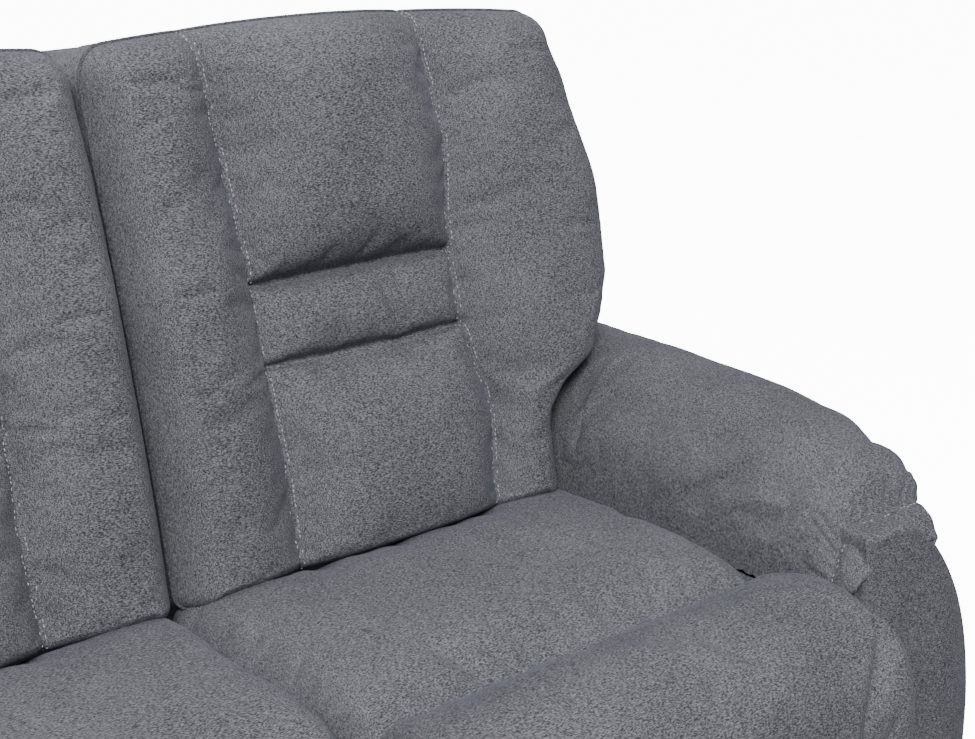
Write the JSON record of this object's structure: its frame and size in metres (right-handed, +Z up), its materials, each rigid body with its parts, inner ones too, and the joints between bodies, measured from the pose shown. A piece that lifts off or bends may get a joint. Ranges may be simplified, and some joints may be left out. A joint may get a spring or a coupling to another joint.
{
  "type": "reclining sofa",
  "caption": "Two-seat reclining sofa with pillow-top arms, sectioned padded backs, sliding seats, fold-out footrests and side release levers.",
  "frame": {"origin": "on the floor at the middle of the footprint", "axes": "+X to the right seen from the front, +Y to the rear, +Z up"},
  "size_m": [1.48, 0.88, 1.0209],
  "materials": {
    "upholstery": "tight woven upholstery fabric, blue-grey, with light topstitching",
    "timber": "sawn softwood and plywood",
    "black_steel": "black powder coat, satin",
    "bright_steel": "zinc plated",
    "spring_wire": "oiled spring wire",
    "glide_plastic": "black moulded plastic",
    "lever_plastic": "black moulded plastic",
    "lever_metal": "dark grey satin paint",
    "cable_sheath": "black plastic sheath"
  },
  "bodies": {
    "base": {"front_rail": "timber", "rear_rail": "timber", "rail_bolts": "bright_steel", "glides": "glide_plastic", "mechanism_rails": "black_steel", "shoulder_pins": "bright_steel", "arm_frame_r": "timber", "arm_cover_r": "upholstery", "arm_pad_r": "upholstery", "lever_plate_r": "lever_plastic", "release_cable_r": "cable_sheath", "arm_frame_l": "timber", "arm_cover_l": "upholstery", "arm_pad_l": "upholstery", "lever_plate_l": "lever_plastic", "release_cable_l": "cable_sheath"},
    "lever_r": {"release_lever_r": "lever_metal"},
    "trip_r": {"trip_arm_r": "bright_steel"},
    "carriage_r": {"side_plates_r": "black_steel", "seat_frame_r": "timber", "seat_springs_r": "spring_wire", "seat_cushion_r": "upholstery"},
    "back_r": {"back_frame_r": "timber", "back_cover_r": "upholstery", "headrest_r": "upholstery", "lumbar_roll_r": "upholstery", "lower_back_r": "upholstery", "wing_inner_r": "upholstery", "wing_outer_r": "upholstery"},
    "drive_r": {"rear_links_r": "black_steel", "drive_tube_r": "black_steel"},
    "front_link_r": {"front_links_r": "black_steel"},
    "control_link_r": {"control_links_r": "black_steel"},
    "panel_link_r": {"panel_links_r": "black_steel"},
    "footrest_r": {"footrest_brackets_r": "black_steel", "footrest_board_r": "timber", "footrest_pad_r": "upholstery"},
    "lever_l": {"release_lever_l": "lever_metal"},
    "trip_l": {"trip_arm_l": "bright_steel"},
    "carriage_l": {"side_plates_l": "black_steel", "seat_frame_l": "timber", "seat_springs_l": "spring_wire", "seat_cushion_l": "upholstery"},
    "back_l": {"back_frame_l": "timber", "back_cover_l": "upholstery", "headrest_l": "upholstery", "lumbar_roll_l": "upholstery", "lower_back_l": "upholstery", "wing_inner_l": "upholstery", "wing_outer_l": "upholstery"},
    "drive_l": {"rear_links_l": "black_steel", "drive_tube_l": "black_steel"},
    "front_link_l": {"front_links_l": "black_steel"},
    "control_link_l": {"control_links_l": "black_steel"},
    "panel_link_l": {"panel_links_l": "black_steel"},
    "footrest_l": {"footrest_brackets_l": "black_steel", "footrest_board_l": "timber", "footrest_pad_l": "upholstery"}
  },
  "joints": [
    {"name": "recline_r", "type": "hinge", "parent": "carriage_r", "child": "back_r", "pos_m": [0.253, 0.12, 0.42], "axis": [-1, 0, 0], "range_deg": [0, 30]},
    {"name": "seat_slide_r", "type": "slide", "parent": "base", "child": "carriage_r", "axis": [0, -1, 0], "range_m": [0, 0.06]},
    {"name": "footrest_drive_r", "type": "hinge", "parent": "carriage_r", "child": "drive_r", "pos_m": [0.253, -0.26, 0.297], "axis": [-1, 0, 0], "range_deg": [0, 152]},
    {"name": "front_link_pivot_r", "type": "hinge", "parent": "drive_r", "child": "front_link_r", "pos_m": [0.253, -0.102, 0.242], "axis": [-1, 0, 0], "range_deg": [-133, 0]},
    {"name": "footrest_pivot_r", "type": "hinge", "parent": "front_link_r", "child": "footrest_r", "pos_m": [0.253, -0.366, 0.227], "axis": [-1, 0, 0], "range_deg": [0, 73]},
    {"name": "control_link_pivot_r", "type": "hinge", "parent": "carriage_r", "child": "control_link_r", "pos_m": [0.253, -0.2982, 0.2807], "axis": [-1, 0, 0], "range_deg": [0, 150]},
    {"name": "panel_link_pivot_r", "type": "hinge", "parent": "drive_r", "child": "panel_link_r", "pos_m": [0.253, -0.0804, 0.225], "axis": [-1, 0, 0], "range_deg": [-129, 0]},
    {"name": "lever_pull_r", "type": "hinge", "parent": "base", "child": "lever_r", "pos_m": [0.714, -0.14, 0.262], "axis": [-1, 0, 0], "range_deg": [0, 35], "stiffness_Nm_per_rad": 0.6, "springref_deg": -34.38},
    {"name": "trip_turn_r", "type": "hinge", "parent": "base", "child": "trip_r", "pos_m": [0.4656, -0.02, 0.235], "axis": [1, 0, 0], "range_deg": [0, 10.5]},
    {"name": "recline_l", "type": "hinge", "parent": "carriage_l", "child": "back_l", "pos_m": [-0.253, 0.12, 0.42], "axis": [-1, 0, 0], "range_deg": [0, 30]},
    {"name": "seat_slide_l", "type": "slide", "parent": "base", "child": "carriage_l", "axis": [0, -1, 0], "range_m": [0, 0.06]},
    {"name": "footrest_drive_l", "type": "hinge", "parent": "carriage_l", "child": "drive_l", "pos_m": [-0.253, -0.26, 0.297], "axis": [-1, 0, 0], "range_deg": [0, 152]},
    {"name": "front_link_pivot_l", "type": "hinge", "parent": "drive_l", "child": "front_link_l", "pos_m": [-0.253, -0.102, 0.242], "axis": [-1, 0, 0], "range_deg": [-133, 0]},
    {"name": "footrest_pivot_l", "type": "hinge", "parent": "front_link_l", "child": "footrest_l", "pos_m": [-0.253, -0.366, 0.227], "axis": [-1, 0, 0], "range_deg": [0, 73]},
    {"name": "control_link_pivot_l", "type": "hinge", "parent": "carriage_l", "child": "control_link_l", "pos_m": [-0.253, -0.2982, 0.2807], "axis": [-1, 0, 0], "range_deg": [0, 150]},
    {"name": "panel_link_pivot_l", "type": "hinge", "parent": "drive_l", "child": "panel_link_l", "pos_m": [-0.253, -0.0804, 0.225], "axis": [-1, 0, 0], "range_deg": [-129, 0]},
    {"name": "lever_pull_l", "type": "hinge", "parent": "base", "child": "lever_l", "pos_m": [-0.714, -0.14, 0.262], "axis": [-1, 0, 0], "range_deg": [0, 35], "stiffness_Nm_per_rad": 0.6, "springref_deg": -34.38},
    {"name": "trip_turn_l", "type": "hinge", "parent": "base", "child": "trip_l", "pos_m": [-0.4656, -0.02, 0.235], "axis": [1, 0, 0], "range_deg": [0, 10.5]}
  ],
  "couplings": [
    {"joint": "seat_slide_r", "follows": "recline_r", "m_per_rad": 0.1145},
    {"joint": "front_link_pivot_r", "follows": "footrest_drive_r", "ratio": -0.8611},
    {"joint": "footrest_pivot_r", "follows": "footrest_drive_r", "ratio": 0.4692},
    {"joint": "control_link_pivot_r", "follows": "footrest_drive_r", "ratio": 0.9721},
    {"joint": "panel_link_pivot_r", "follows": "footrest_drive_r", "ratio": -0.834},
    {"joint": "trip_turn_r", "follows": "lever_pull_r", "ratio": 0.2857},
    {"joint": "seat_slide_l", "follows": "recline_l", "m_per_rad": 0.1145},
    {"joint": "front_link_pivot_l", "follows": "footrest_drive_l", "ratio": -0.8611},
    {"joint": "footrest_pivot_l", "follows": "footrest_drive_l", "ratio": 0.4692},
    {"joint": "control_link_pivot_l", "follows": "footrest_drive_l", "ratio": 0.9721},
    {"joint": "panel_link_pivot_l", "follows": "footrest_drive_l", "ratio": -0.834},
    {"joint": "trip_turn_l", "follows": "lever_pull_l", "ratio": 0.2857}
  ]
}
